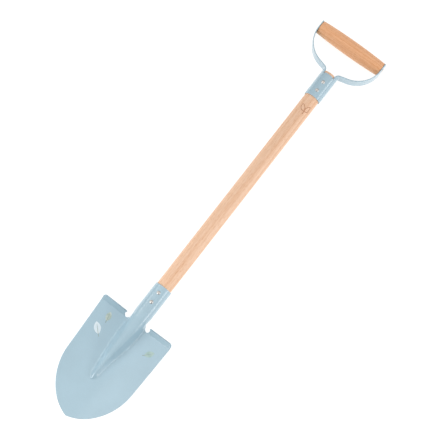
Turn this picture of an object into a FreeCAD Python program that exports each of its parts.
"""Child's garden spade: a pressed steel head riveted to a beech shaft, with a riveted D-yoke and a turned grip.

The spade lies on its back. +X is to the right across the blade, +Y runs along the shaft from the blade's tip
to the grip, and +Z is the side that the blade's hollow front faces. The origin is under the middle of the
spade, on the surface that it lies on. Every piece is drawn with the blade's tip at Y = 0 and the shaft's axis
at Z = 0, and its Placement moves it to the origin above. Lengths are in millimetres.
"""

import FreeCAD, Part
import math
import os

import Sketcher

doc = FreeCAD.newDocument("garden_spade")
V = FreeCAD.Vector
X, Y, Z = V(1, 0, 0), V(0, 1, 0), V(0, 0, 1)

# ---------------------------------------------------------------- driving dimensions

SIZES = {
    # steel sheet and wood
    "sheet": 1.5,
    "shaft_radius": 12.0,
    "fit_gap": 0.05,
    # blade outline, from the tip at 0
    "tip_arc": 67.5,
    "tip_arc_end": 17.5,
    "tip_arc_half": 31.0,
    "side_arc": 90.0,
    "side_start": 78.0,
    "side_start_half": 57.7,
    "blade_half": 61.05,
    "fold_line": 161.1,
    "blade_top": 168.0,
    "blade_corner": 4.5,
    "tread_inner": 20.8,
    "tread_corner": 0.8,
    "notch_radius": 3.3,
    "notch_reach": 1.4,
    # blade hollow and treads
    "hollow_across": 180.0,
    "hollow_along": 800.0,
    "belly_station": 80.0,
    "belly_drop": 12.5,
    "tread_angle": 46.0,
    "tread_length": 12.0,
    "tread_overlap": 0.6,
    "tread_spread": 22.0,
    # pressed crest
    "crest_nose": 62.6,
    "crest_shoulder": 69.0,
    "crest_nose_half": 6.0,
    "crest_nose_rise": 4.2,
    "crest_top": 172.0,
    "crest_widest": 146.0,
    "crest_half": 14.8,
    "crest_lean": 3.2,
    "crest_lean_start": 165.0,
    "crest_lean_run": 80.0,
    "crest_nose_radius": 3.9,
    "crest_wall_low": -6.5,
    "crest_wall_high": -4.0,
    "crest_least_wall": 0.3,
    "crest_steepest": 89.5,
    # socket
    "socket_top": 226.4,
    "seam": 1.0,
    # size of the cutters, larger than the spade is across
    "cutter": 80.0,
    # shaft
    "shaft_foot": 172.0,
    "shaft_foot_radius": 8.5,
    "shaft_full": 204.0,
    "shaft_top": 634.0,
    "shaft_round": 1.5,
    # rivets
    "rivet_radius": 2.0,
    "rivet_head": 2.9,
    "rivet_dome": 1.6,
    "rivet_tail": 1.1,
    "socket_rivet_low": 198.7,
    "socket_rivet_pitch": 16.5,
    "ferrule_rivet_low": 598.9,
    "ferrule_rivet_pitch": 15.7,
    # yoke
    "ferrule_foot": 587.8,
    "ferrule_top": 630.0,
    "relief_radius": 1.3,
    "strap_width": 20.0,
    "root_straight": 636.0,
    "root_bend": 4.0,
    "strap_slope": 15.0,
    "strap_inner": 57.0,
    "strap_arc": 42.0,
    "strap_end": 699.0,
    "strap_corner": 3.0,
    # grip
    "grip_axis": 688.4,
    "grip_middle": 12.5,
    "grip_end": 10.75,
    "grip_round": 1.2,
    "grip_gap": 0.3,
    # pin
    "pin_radius": 2.0,
    "pin_head": 2.7,
    "pin_proud": 1.3,
}

sheet = doc.addObject("Spreadsheet::Sheet", "Sizes")
for row, (name, number) in enumerate(SIZES.items(), start=1):
    sheet.set(f"A{row}", name)
    sheet.set(f"B{row}", str(number))
    sheet.setAlias(f"B{row}", name)
doc.recompute()


class Length:
    """A length worked out from the sheet: its value, and the expression that binds an object's size to it."""

    def __init__(self, value, text):
        self.value = value
        self.text = text

    def joined(self, other, sign, value):
        return Length(value, f"({self.text} {sign} {other.text})")

    def __add__(self, other):
        other = length(other)
        return self.joined(other, "+", self.value + other.value)

    def __sub__(self, other):
        other = length(other)
        return self.joined(other, "-", self.value - other.value)

    def __mul__(self, other):
        other = length(other)
        return self.joined(other, "*", self.value * other.value)

    def __neg__(self):
        return Length(-self.value, f"(0 - {self.text})")


def length(number):
    return number if isinstance(number, Length) else Length(float(number), repr(float(number)))


def cell(name):
    return Length(float(sheet.get(name)), f"Sizes.{name}")


def ratio(function, name):
    """The sine, cosine or tangent of an angle in the sheet."""
    value = getattr(math, function)(math.radians(SIZES[name]))
    return Length(value, f"{function}(Sizes.{name} * 1 deg)")


def bind(thing, **sizes):
    for key, size in sizes.items():
        thing.setExpression(key, size.text)


# ---------------------------------------------------------------- sketches and features

PLANES = {"XY": "XY_Plane", "XZ": "XZ_Plane", "YZ": "YZ_Plane"}


def origin_plane(body, plane):
    return next(f for f in body.Origin.OriginFeatures if f.Role == PLANES[plane])


def new_body(name):
    return doc.addObject("PartDesign::Body", name)


def new_sketch(body, name, plane):
    sketch = body.newObject("Sketcher::SketchObject", name)
    sketch.AttachmentSupport = (origin_plane(body, plane), [""])
    sketch.MapMode = "FlatFace"
    return sketch


def arc_between(a, b, radius, turn):
    """The shorter arc from a to b. turn is 1 for an arc that turns left on the way, and -1 for right."""
    middle, chord = (a + b) * 0.5, b - a
    reach = math.sqrt(max(radius**2 - (chord.Length / 2) ** 2, 0.0))
    side = V(-chord.y, chord.x, 0).normalize() * turn
    centre = middle + side * reach
    first, last = (a, b) if turn > 0 else (b, a)
    angles = [math.atan2(p.y - centre.y, p.x - centre.x) for p in (first, last)]
    return Part.ArcOfCircle(Part.Circle(centre, Z, radius), *angles)


def pin_point(sketch, item, end, across, up):
    """Holds one end of a sketch line at its two lengths from the sketch's origin."""
    for kind, size, axis in (("DistanceX", across, -2), ("DistanceY", up, -1)):
        if size.value == 0:
            sketch.addConstraint(Sketcher.Constraint("PointOnObject", item, end, axis))
            continue
        index = sketch.addConstraint(Sketcher.Constraint(kind, -1, 1, item, end, size.value))
        sketch.setExpression(f"Constraints[{index}]", size.text)


def draw(sketch, points):
    """Draws a closed outline. A point is (across, up), or (across, up, radius, turn) for an arc that ends there."""
    spots = [(length(p[0]), length(p[1])) for p in points]
    places = [V(across.value, up.value, 0) for across, up in spots]
    ends = []
    for i, point in enumerate(points):
        a, b = places[i - 1], places[i]
        if len(point) == 2:
            item = sketch.addGeometry(Part.LineSegment(a, b))
            ends.append((item, 1, 2))
            continue
        radius, turn = length(point[2]), point[3]
        item = sketch.addGeometry(arc_between(a, b, radius.value, turn))
        ends.append((item, 1, 2) if turn > 0 else (item, 2, 1))
        index = sketch.addConstraint(Sketcher.Constraint("Radius", item, radius.value))
        sketch.setExpression(f"Constraints[{index}]", radius.text)
    for i, (item, start, end) in enumerate(ends):
        following, following_start, _ = ends[(i + 1) % len(ends)]
        sketch.addConstraint(Sketcher.Constraint("Coincident", item, end, following, following_start))
        pin_point(sketch, item, end, *spots[i])


def revolved(body, name, plane, points, axis):
    """A full turn of an outline about one of its sketch's axes: H_Axis or V_Axis."""
    sketch = new_sketch(body, name + "_outline", plane)
    draw(sketch, points)
    turn = body.newObject("PartDesign::Revolution", name)
    turn.Profile = sketch
    turn.ReferenceAxis = (sketch, [axis])
    turn.Angle = 360
    return turn


def padded(body, name, plane, points, size):
    """An outline made solid, with half of its thickness each side of the sketch's plane."""
    sketch = new_sketch(body, name + "_outline", plane)
    draw(sketch, points)
    pad = body.newObject("PartDesign::Pad", name)
    pad.Profile = sketch
    pad.Midplane = True
    bind(pad, Length=size)
    return pad


def rod(name, radius, size, centre, direction):
    """A Part cylinder whose middle is at centre. radius and size are lengths from the sheet."""
    cylinder = doc.addObject("Part::Cylinder", name)
    bind(cylinder, Radius=radius, Height=size)
    turn = FreeCAD.Rotation(Z, direction)
    cylinder.Placement = FreeCAD.Placement(centre - direction * (size.value / 2), turn)
    return cylinder


def block(name, low, high):
    """A Part box between two corners, each given as three lengths from the sheet."""
    box = doc.addObject("Part::Box", name)
    bind(box, Length=high[0] - low[0], Width=high[1] - low[1], Height=high[2] - low[2])
    box.Placement.Base = V(low[0].value, low[1].value, low[2].value)
    return box


def fused(name, things):
    joined = doc.addObject("Part::MultiFuse", name)
    joined.Shapes = things
    joined.Refine = True
    return joined


def cut(name, base, tools):
    """The base with the tools taken away. It stops if the tools took nothing."""
    tool = tools[0] if len(tools) == 1 else fused(name + "_tools", tools)
    result = doc.addObject("Part::Cut", name)
    result.Base = base
    result.Tool = tool
    doc.recompute()
    if result.Shape.Volume > base.Shape.Volume - 0.1:
        raise ValueError(f"{name} cut nothing")
    return result


def common(name, base, tool):
    result = doc.addObject("Part::Common", name)
    result.Base = base
    result.Tool = tool
    return result


# ---------------------------------------------------------------- lengths that several pieces share

thick = cell("sheet")
bore = cell("shaft_radius") + cell("fit_gap")
tube = bore + thick
tall = cell("cutter")
spade_length = cell("grip_axis") + cell("grip_middle")
rivet_hole = cell("rivet_radius") + cell("fit_gap")
rivet_seat = cell("rivet_head") + cell("fit_gap")
# A rivet head is flat underneath, so it sits on a flat that is this far from the shaft's axis.
seat_height = math.sqrt(tube.value**2 - rivet_seat.value**2)
axis_height = length(seat_height) + cell("rivet_tail")

half = SIZES["strap_width"] / 2
# How far a cutter runs past what it cuts, and how far two pieces that are fused reach into each other.
CLEAR = 2.0
SMALL = 0.1


def rivet_cutters(name, place, flats=True):
    """The holes that two rivets need, and the flats for their heads outside a tube."""
    low, pitch = cell(f"{place}_rivet_low"), cell(f"{place}_rivet_pitch")
    tools = []
    for i in range(2):
        station = (low + pitch * i).value
        tools.append(rod(f"{name}_hole_{i}", rivet_hole, tall, V(0, station, 0), Z))
        for side in (1, -1) if flats else ():
            middle = side * (seat_height + tube.value / 2)
            flat = rod(f"{name}_flat_{i}_{side + 1}", rivet_seat, tube, V(0, station, middle), Z)
            tools.append(flat)
    return tools


# ---------------------------------------------------------------- steel head

def blade_blank():
    """The plan outline of the blade, its two shoulders, the notches beside the socket, and the socket."""
    body = new_body("blade_blank")
    top, corner = cell("blade_top"), cell("blade_corner")
    inner, small, notch = cell("tread_inner"), cell("tread_corner"), cell("notch_radius")
    notch_x = inner + cell("notch_reach") - notch
    lip = math.sqrt(notch.value**2 - (inner - notch_x).value ** 2)
    flare = notch_x - tube
    fold = cell("fold_line")
    outline = [
        (0, 0),
        (cell("tip_arc_half"), cell("tip_arc_end"), cell("tip_arc"), 1),
        (cell("side_start_half"), cell("side_start"), cell("side_arc"), 1),
        (cell("blade_half"), top - corner),
        (cell("blade_half") - corner, top, corner, 1),
        (inner + small, top),
        (inner, top - small, small, 1),
        (inner, fold + notch + lip),
        (notch_x, fold, notch, -1),
        (tube, fold + flare, flare, -1),
        (tube, cell("socket_top")),
        (0, cell("socket_top")),
    ]
    pad = padded(body, "blank_half", "XY", outline, tall)
    whole = body.newObject("PartDesign::Mirrored", "blank_whole")
    whole.Originals = [pad]
    whole.MirrorPlane = (origin_plane(body, "YZ"), [""])
    body.Tip = whole
    return body


def hollow_surface(name, extra):
    """A ring whose lowest part is the blade's hollow: round across the blade, and rounder still along it."""
    ring = doc.addObject("Part::Torus", name)
    across, along = cell("hollow_across"), cell("hollow_along")
    bind(ring, Radius1=along - across, Radius2=across + extra)
    centre = V(0, SIZES["belly_station"], SIZES["hollow_along"] - SIZES["belly_drop"])
    ring.Placement = FreeCAD.Placement(centre, FreeCAD.Rotation(Z, X))
    return ring


def plate_level(across, along):
    """Height of the blade's front surface."""
    lift = SIZES["hollow_across"] - math.sqrt(SIZES["hollow_across"] ** 2 - across**2)
    reach = SIZES["hollow_along"] - lift
    run = along - SIZES["belly_station"]
    return SIZES["hollow_along"] - SIZES["belly_drop"] - math.sqrt(reach**2 - run**2)


def treads():
    """The blade's top edge folded forward: the section of the sheet there, pushed up the fold's slope."""
    foot = SIZES["fold_line"] - SIZES["tread_overlap"]
    base = plate_level(0, foot)
    angle = math.radians(SIZES["tread_angle"])
    deep = SIZES["sheet"] / math.cos(angle)
    middle = V(0, foot, base + SIZES["hollow_across"])

    def rim(radius, sign=1):
        bend = math.radians(SIZES["tread_spread"]) * sign
        return middle + V(math.sin(bend) * radius, 0, -math.cos(bend) * radius)

    inner, outer = SIZES["hollow_across"], SIZES["hollow_across"] + deep
    edges = [
        Part.Arc(rim(inner, -1), rim(inner, 0), rim(inner)).toShape(),
        Part.LineSegment(rim(inner), rim(outer)).toShape(),
        Part.Arc(rim(outer), rim(outer, 0), rim(outer, -1)).toShape(),
        Part.LineSegment(rim(outer, -1), rim(inner, -1)).toShape(),
    ]
    push = V(0, math.cos(angle), math.sin(angle)) * SIZES["tread_length"]
    fold = doc.addObject("Part::Feature", "tread_fold")
    fold.Shape = Part.Face(Part.Wire(edges)).extrude(push)
    return fold


def eased(share):
    """From 0 to 1 with a level start and end."""
    share = min(max(share, 0.0), 1.0)
    return share * share * (3 - 2 * share)


def crest_shift(station):
    """The pressed crest leans a little to -X below the fold."""
    share = (SIZES["crest_lean_start"] - station) / SIZES["crest_lean_run"]
    return X * (-SIZES["crest_lean"] * eased(share))


# How the crest's height changes along its nose, and where its nose and channel have sections.
NOSE_RISE_POWER = 0.75
NOSE_SHARES = (0.08, 0.28, 0.6, 1.0)
CREST_STEPS = 6


def crest_measures(station):
    """Half width at the blade, crest height and crest radius of the pressed ridge at one station."""
    nose, shoulder = SIZES["crest_nose"], SIZES["crest_shoulder"]
    widest, top = SIZES["crest_widest"], SIZES["crest_top"]
    low_half, low_bend = SIZES["crest_nose_half"], SIZES["crest_nose_radius"]
    if station < shoulder:
        share = (station - nose) / (shoulder - nose)
        rise = SIZES["crest_nose_rise"] * share**NOSE_RISE_POWER
        round_off = math.sqrt(share)
        return low_half * round_off, plate_level(0, station) + rise, low_bend * round_off
    low = plate_level(0, shoulder) + SIZES["crest_nose_rise"]
    climb = (station - shoulder) / (top - shoulder)
    height = low + (tube.value - low) * climb
    bend = low_bend + (tube.value - low_bend) * climb
    if station < widest:
        swell = eased((station - shoulder) / (widest - shoulder))
        return low_half + (SIZES["crest_half"] - low_half) * swell, height, bend
    share = (station - widest) / (top - widest)
    return SIZES["crest_half"] + (tube.value - SIZES["crest_half"]) * share**2, height, bend


def ridge_side(station, inset, bottom):
    """Bottom, foot and side points of the ridge at +X, and its crown, for a face inset into the sheet."""
    width, height, bend = crest_measures(station)
    base = plate_level(width, station)
    centre = height - bend
    reach = math.hypot(width, centre - base)
    slope = math.asin(min(bend / reach, 1.0)) + math.atan2(centre - base, width)
    slope = min(slope, math.radians(SIZES["crest_steepest"]))
    radius = bend - inset
    side = V(math.sin(slope) * radius, station, centre + math.cos(slope) * radius)
    foot_level = max(base - inset, bottom + SIZES["crest_least_wall"])
    run = (side.z - foot_level) / math.tan(slope)
    foot = V(side.x + run, station, foot_level)
    return V(foot.x, station, bottom), foot, side, V(0, station, centre + radius)


def flipped(point):
    return V(-point.x, point.y, point.z)


def closed_wire(points, arcs):
    """A closed wire through the points. arcs gives the middle point of each edge that is an arc."""
    edges = []
    for i, start in enumerate(points):
        end = points[(i + 1) % len(points)]
        curve = Part.Arc(start, arcs[i], end) if i in arcs else Part.LineSegment(start, end)
        edges.append(curve.toShape())
    return Part.Wire(edges)


def nose_section(station):
    """Across the ridge's solid nose, down to the middle of the blade's sheet."""
    bottom = plate_level(crest_measures(station)[0], station) - SIZES["sheet"] / 2
    deep, foot, side, crown = ridge_side(station, 0.0, bottom)
    points = [deep, foot, side, flipped(side), flipped(foot), flipped(deep)]
    wire = closed_wire(points, {2: crown})
    wire.translate(crest_shift(station))
    return wire


def channel_section(station, bottom):
    """Across the ridge where it is one sheet thick and open at the back."""
    deep, foot, side, crown = ridge_side(station, 0.0, bottom)
    inner_foot, _, inner_side, inner_crown = ridge_side(station, SIZES["sheet"], bottom)
    outside = [deep, foot, side, flipped(side), flipped(foot), flipped(deep)]
    inside = [flipped(inner_foot), flipped(inner_side), inner_side, inner_foot]
    wire = closed_wire(outside + inside, {2: crown, 7: inner_crown})
    wire.translate(crest_shift(station))
    return wire


def lofted(name, wires):
    solid = doc.addObject("Part::Feature", name)
    solid.Shape = Part.makeLoft(wires, True, False)
    return solid


def crest():
    """The ridge: a short solid nose, and above it a channel that opens at the back and runs into the socket."""
    nose, shoulder = SIZES["crest_nose"], SIZES["crest_shoulder"]
    fold, top = SIZES["fold_line"], SIZES["crest_top"]
    front = lofted("crest_nose", [nose_section(nose + (shoulder - nose) * share) for share in NOSE_SHARES])
    stations = [shoulder + (fold - shoulder) * i / CREST_STEPS for i in range(CREST_STEPS + 1)]
    floor = SIZES["sheet"] - SMALL
    bottoms = [plate_level(crest_measures(s)[0], s) - floor for s in stations]
    stations += [(fold + top) / 2, top]
    bottoms += [SIZES["crest_wall_low"], SIZES["crest_wall_high"]]
    return [front, lofted("crest_channel", [channel_section(s, b) for s, b in zip(stations, bottoms)])]


def crest_opening():
    """The opening in the blade under the channel, with its edge halfway through the channel's walls."""
    shoulder, fold = SIZES["crest_shoulder"], SIZES["fold_line"]
    sides = ([], [])
    for i in range(CREST_STEPS + 1):
        station = shoulder + (fold + CLEAR - shoulder) * i / CREST_STEPS
        width = crest_measures(station)[0]
        _, foot, _, _ = ridge_side(station, SIZES["sheet"], plate_level(width, station) - SIZES["sheet"])
        point = V((width + foot.x) / 2, station, -tall.value)
        for line, spot in zip(sides, (point, flipped(point))):
            line.append(spot + crest_shift(station))
    right, left = (Part.BSplineCurve() for _ in sides)
    for curve, line in zip((right, left), sides):
        curve.interpolate(line)
    edges = [
        right.toShape(),
        Part.LineSegment(sides[0][-1], sides[1][-1]).toShape(),
        left.toShape(),
        Part.LineSegment(sides[1][0], sides[0][0]).toShape(),
    ]
    opening = doc.addObject("Part::Feature", "crest_opening")
    opening.Shape = Part.Face(Part.Wire(Part.__sortEdges__(edges))).extrude(Z * (tall.value * 2))
    return opening


def blade_head():
    """Blade, crest, treads and socket pressed from one sheet, open behind the crest and along the socket."""
    blank = blade_blank()
    plate = cut("plate", common("plate_outer", blank, hollow_surface("hollow_back", thick)), [
        hollow_surface("hollow_front", length(0)),
    ])
    below = block(
        "below_fold",
        (-tall, -tall, -tall),
        (tall, cell("fold_line") + SMALL, tall),
    )
    plate = common("plate_below_fold", plate, below)
    shoulders = common("treads", blank, treads())
    gap = block(
        "between_treads",
        (-(cell("tread_inner") - SMALL), -tall, -tall),
        (cell("tread_inner") - SMALL, cell("blade_top") + tall, tall),
    )
    shoulders = cut("treads_apart", shoulders, [gap])

    plate = cut("plate_opened", plate, [crest_opening()])
    ridge = [common(f"{part.Name}_trimmed", blank, part) for part in crest()]
    socket_length = cell("socket_top") - cell("crest_top")
    middle = V(0, (SIZES["socket_top"] + SIZES["crest_top"]) / 2, 0)
    socket = rod("socket_outside", tube, socket_length, middle, Y)
    hole = rod("socket_bore", bore, socket_length, middle, Y)
    slot = block(
        "socket_seam",
        (-(cell("seam") * 0.5), cell("crest_top") - CLEAR, -tall),
        (cell("seam") * 0.5, cell("socket_top") + CLEAR, length(0)),
    )
    whole = fused("head_solid", [plate, shoulders, *ridge, socket])
    return cut("blade_head", whole, [hole, slot, *rivet_cutters("socket_rivet", "socket")])


# ---------------------------------------------------------------- shaft

def shaft():
    """Round shaft, tapered at its foot inside the socket and a little rounded at its top."""
    body = new_body("shaft_turned")
    radius, soft = cell("shaft_radius"), cell("shaft_round")
    foot, top = cell("shaft_foot"), cell("shaft_top")
    outline = [
        (0, foot),
        (cell("shaft_foot_radius"), foot),
        (radius, cell("shaft_full")),
        (radius, top - soft),
        (radius - soft, top, soft, 1),
        (0, top),
    ]
    revolved(body, "shaft_round_stock", "XY", outline, "V_Axis")
    tools = [t for end in ("socket", "ferrule") for t in rivet_cutters(f"shaft_{end}", end, flats=False)]
    return cut("shaft", body, tools)


# ---------------------------------------------------------------- yoke

def strap():
    """One arm of the D, from the end of its bend at the ferrule to its square end beside the grip."""
    body = new_body("strap_right")
    inner, arc, end = cell("strap_inner"), cell("strap_arc"), cell("strap_end")
    rise, run, lean = (ratio(f, "strap_slope") for f in ("sin", "cos", "tan"))
    bend, low = cell("root_bend"), cell("root_straight")
    knees = [(bore + bend - r * rise, low + r * run) for r in (bend, bend - thick)]
    middle = inner - arc
    join = middle + arc * rise
    level = knees[0][1] + (join - knees[0][0]) * lean + arc * run
    joins = [(middle + r * rise, level - r * run) for r in (arc, arc + thick)]
    outline = [
        knees[1],
        joins[1],
        (inner + thick, level, arc + thick, 1),
        (inner + thick, end),
        (inner, end),
        (inner, level),
        (*joins[0], arc, -1),
        knees[0],
    ]
    pad = padded(body, "strap_band", "XY", outline, cell("strap_width"))
    doc.recompute()
    ends = []
    for i, edge in enumerate(pad.Shape.Edges, start=1):
        across = abs(edge.tangentAt(edge.FirstParameter).x) > 0.99
        if across and abs(edge.CenterOfMass.y - end.value) < 0.01 and edge.Length < thick.value + 0.1:
            ends.append(f"Edge{i}")
    corners = body.newObject("PartDesign::Fillet", "strap_corners")
    corners.Base = (pad, ends)
    bind(corners, Radius=cell("strap_corner"))
    return body


# How evenly the strap flattens as it bends out of the ferrule.
ROOT_STEPS = 5
FLATTENING = 1.3


def root_section(place, inward, curl):
    """The strap's section at one point of its inner face. curl is 1 where it is as round as the ferrule."""
    edges = []
    corners = []
    for radius, depth in ((bore.value, 0.0), (tube.value, -thick.value)):
        sag = curl * (radius - math.sqrt(radius**2 - half**2))
        low, mid, high = (place + inward * (depth + s) + Z * z for s, z in ((sag, -half), (0, 0), (sag, half)))
        curve = Part.Arc(low, mid, high) if curl else Part.LineSegment(low, high)
        edges.append(curve.toShape())
        corners.append((low, high))
    (inner_low, inner_high), (outer_low, outer_high) = corners
    edges.insert(1, Part.LineSegment(inner_high, outer_high).toShape())
    edges.append(Part.LineSegment(outer_low, inner_low).toShape())
    return Part.Wire(Part.__sortEdges__(edges))


def strap_root():
    """The ferrule's side wall run on upwards and bent outwards, changing from round to flat as it bends."""
    bend, rise = SIZES["root_bend"], SIZES["root_straight"]
    centre = V(bore.value + bend, rise, 0)
    wires = [root_section(V(bore.value, SIZES["ferrule_top"] - CLEAR, 0), -X, 1.0)]
    whole_bend = math.radians(90 - SIZES["strap_slope"])
    for i in range(ROOT_STEPS + 1):
        angle = whole_bend * i / ROOT_STEPS
        inward = V(-math.cos(angle), math.sin(angle), 0)
        curl = 0.0 if i == ROOT_STEPS else (1 - i / ROOT_STEPS) ** FLATTENING
        wires.append(root_section(centre + inward * bend, inward, curl))
    pieces = [
        Part.makeLoft(wires[:2], True, True),
        Part.makeLoft(wires[1:], True, False),
    ]
    root = doc.addObject("Part::Feature", "strap_root_right")
    root.Shape = pieces[0].fuse(pieces[1])
    return root


def mirrored(name, thing):
    copy = doc.addObject("Part::Mirroring", name)
    copy.Source = thing
    copy.Normal = X
    return copy


def handle_yoke():
    """Ferrule and both arms of the D from one sheet, with a seam behind the ferrule."""
    size = cell("ferrule_top") - cell("ferrule_foot")
    middle = V(0, (SIZES["ferrule_top"] + SIZES["ferrule_foot"]) / 2, 0)
    outside = rod("ferrule_outside", tube, size, middle, Y)
    band, root = strap(), strap_root()
    arms = [band, root, mirrored("strap_left", band), mirrored("strap_root_left", root)]
    hole = rod("ferrule_bore", bore, size + CLEAR, middle, Y)
    slot = block(
        "ferrule_seam",
        (-(cell("seam") * 0.5), cell("ferrule_foot") - CLEAR, -tall),
        (cell("seam") * 0.5, cell("ferrule_top") + CLEAR, length(0)),
    )
    tools = [hole, slot, *rivet_cutters("ferrule_rivet", "ferrule")]
    reach = math.sqrt(tube.value**2 - half**2) - thick.value / 2
    for side in (1, -1):
        corner = V(side * reach, SIZES["ferrule_top"], 0)
        tools.append(rod(f"relief_{side + 1}", cell("relief_radius"), tall, corner, Z))
    tools.append(rod("pin_holes", cell("pin_radius") + cell("fit_gap"), tall * 2, V(0, SIZES["grip_axis"], 0), X))
    return cut("handle_yoke", fused("yoke_solid", [outside, *arms]), tools)


# ---------------------------------------------------------------- grip and pin

def grip():
    """Barrel-shaped grip, bored along its length for the pin."""
    body = new_body("grip")
    reach = cell("strap_inner") - cell("grip_gap")
    end, soft, swell = cell("grip_end"), cell("grip_round"), cell("grip_middle")
    hole = cell("pin_radius") + cell("fit_gap")
    half_length = reach.value - soft.value
    rise = swell.value - end.value
    barrel = length((half_length**2 + rise**2) / (2 * rise))
    outline = [
        (-reach, hole),
        (reach, hole),
        (reach, end - soft),
        (reach - soft, end, soft, 1),
        (-(reach - soft), end, barrel, 1),
        (-reach, end - soft, soft, 1),
    ]
    revolved(body, "grip_barrel", "XY", outline, "H_Axis")
    return body


def grip_pin():
    """Plain pin through the grip, closed over a domed head outside each arm of the D."""
    body = new_body("grip_pin")
    seat = cell("strap_inner") + thick
    radius, head, proud = cell("pin_radius"), cell("pin_head"), cell("pin_proud")
    dome = length((head.value**2 + proud.value**2) / (2 * proud.value))
    outline = [
        (seat + proud, 0),
        (seat, head, dome, 1),
        (seat, radius),
        (-seat, radius),
        (-seat, head),
        (-(seat + proud), 0, dome, 1),
    ]
    revolved(body, "pin_turned", "XY", outline, "H_Axis")
    return body


# ---------------------------------------------------------------- rivets

def rivets(name, low, pitch):
    """Two equal rivets: a domed head in front, a shank through steel and wood, and a low head behind."""
    body = new_body(name)
    body.AllowCompound = True
    radius, head = cell("rivet_radius"), cell("rivet_head")
    seat = length(seat_height)
    dome, tail = cell("rivet_dome"), cell("rivet_tail")
    front = length((head.value**2 + dome.value**2) / (2 * dome.value))
    back = length((head.value**2 + tail.value**2) / (2 * tail.value))
    outline = [
        (0, -(seat + tail)),
        (head, -seat, back, 1),
        (radius, -seat),
        (radius, seat),
        (head, seat),
        (0, seat + dome, front, 1),
    ]
    turned = revolved(body, name + "_turned", "XZ", outline, "V_Axis")
    doc.recompute()
    row = body.newObject("PartDesign::LinearPattern", name + "_row")
    row.Originals = [turned]
    row.Direction = (next(f for f in body.Origin.OriginFeatures if f.Role == "Y_Axis"), [""])
    row.Occurrences = 2
    bind(row, Length=pitch)
    body.Tip = row
    return body, low.value


# ---------------------------------------------------------------- assembly

place = V(0, -spade_length.value / 2, axis_height.value)
pieces = {
    "blade_head": (blade_head(), V()),
    "shaft": (shaft(), V()),
    "handle_yoke": (handle_yoke(), V()),
    "grip": (grip(), Y * SIZES["grip_axis"]),
    "grip_pin": (grip_pin(), Y * SIZES["grip_axis"]),
}
for name in ("socket", "ferrule"):
    body, station = rivets(f"{name}_rivets", cell(f"{name}_rivet_low"), cell(f"{name}_rivet_pitch"))
    pieces[f"{name}_rivets"] = (body, Y * station)

doc.recompute()
for label, (piece, shift) in pieces.items():
    piece.Label = label
    piece.Placement = FreeCAD.Placement(place + shift, FreeCAD.Rotation())
doc.recompute()

for thing in doc.Objects:
    if {"Invalid", "Error"} & set(thing.State):
        raise ValueError(f"{thing.Name} failed: {thing.State}")
os.makedirs("parts", exist_ok=True)
for label, (piece, _) in pieces.items():
    if piece.Shape.isNull() or not piece.Shape.isValid():
        raise ValueError(f"{label} has no valid shape")
    piece.Shape.exportStep(f"parts/{label}.step")
    box = piece.Shape.BoundBox
    print(f"{label}: {len(piece.Shape.Solids)} solid, {piece.Shape.Volume / 1000:.2f} cm3,", end=" ")
    print(f"Y {box.YMin:.2f} to {box.YMax:.2f}, Z {box.ZMin:.2f} to {box.ZMax:.2f}")
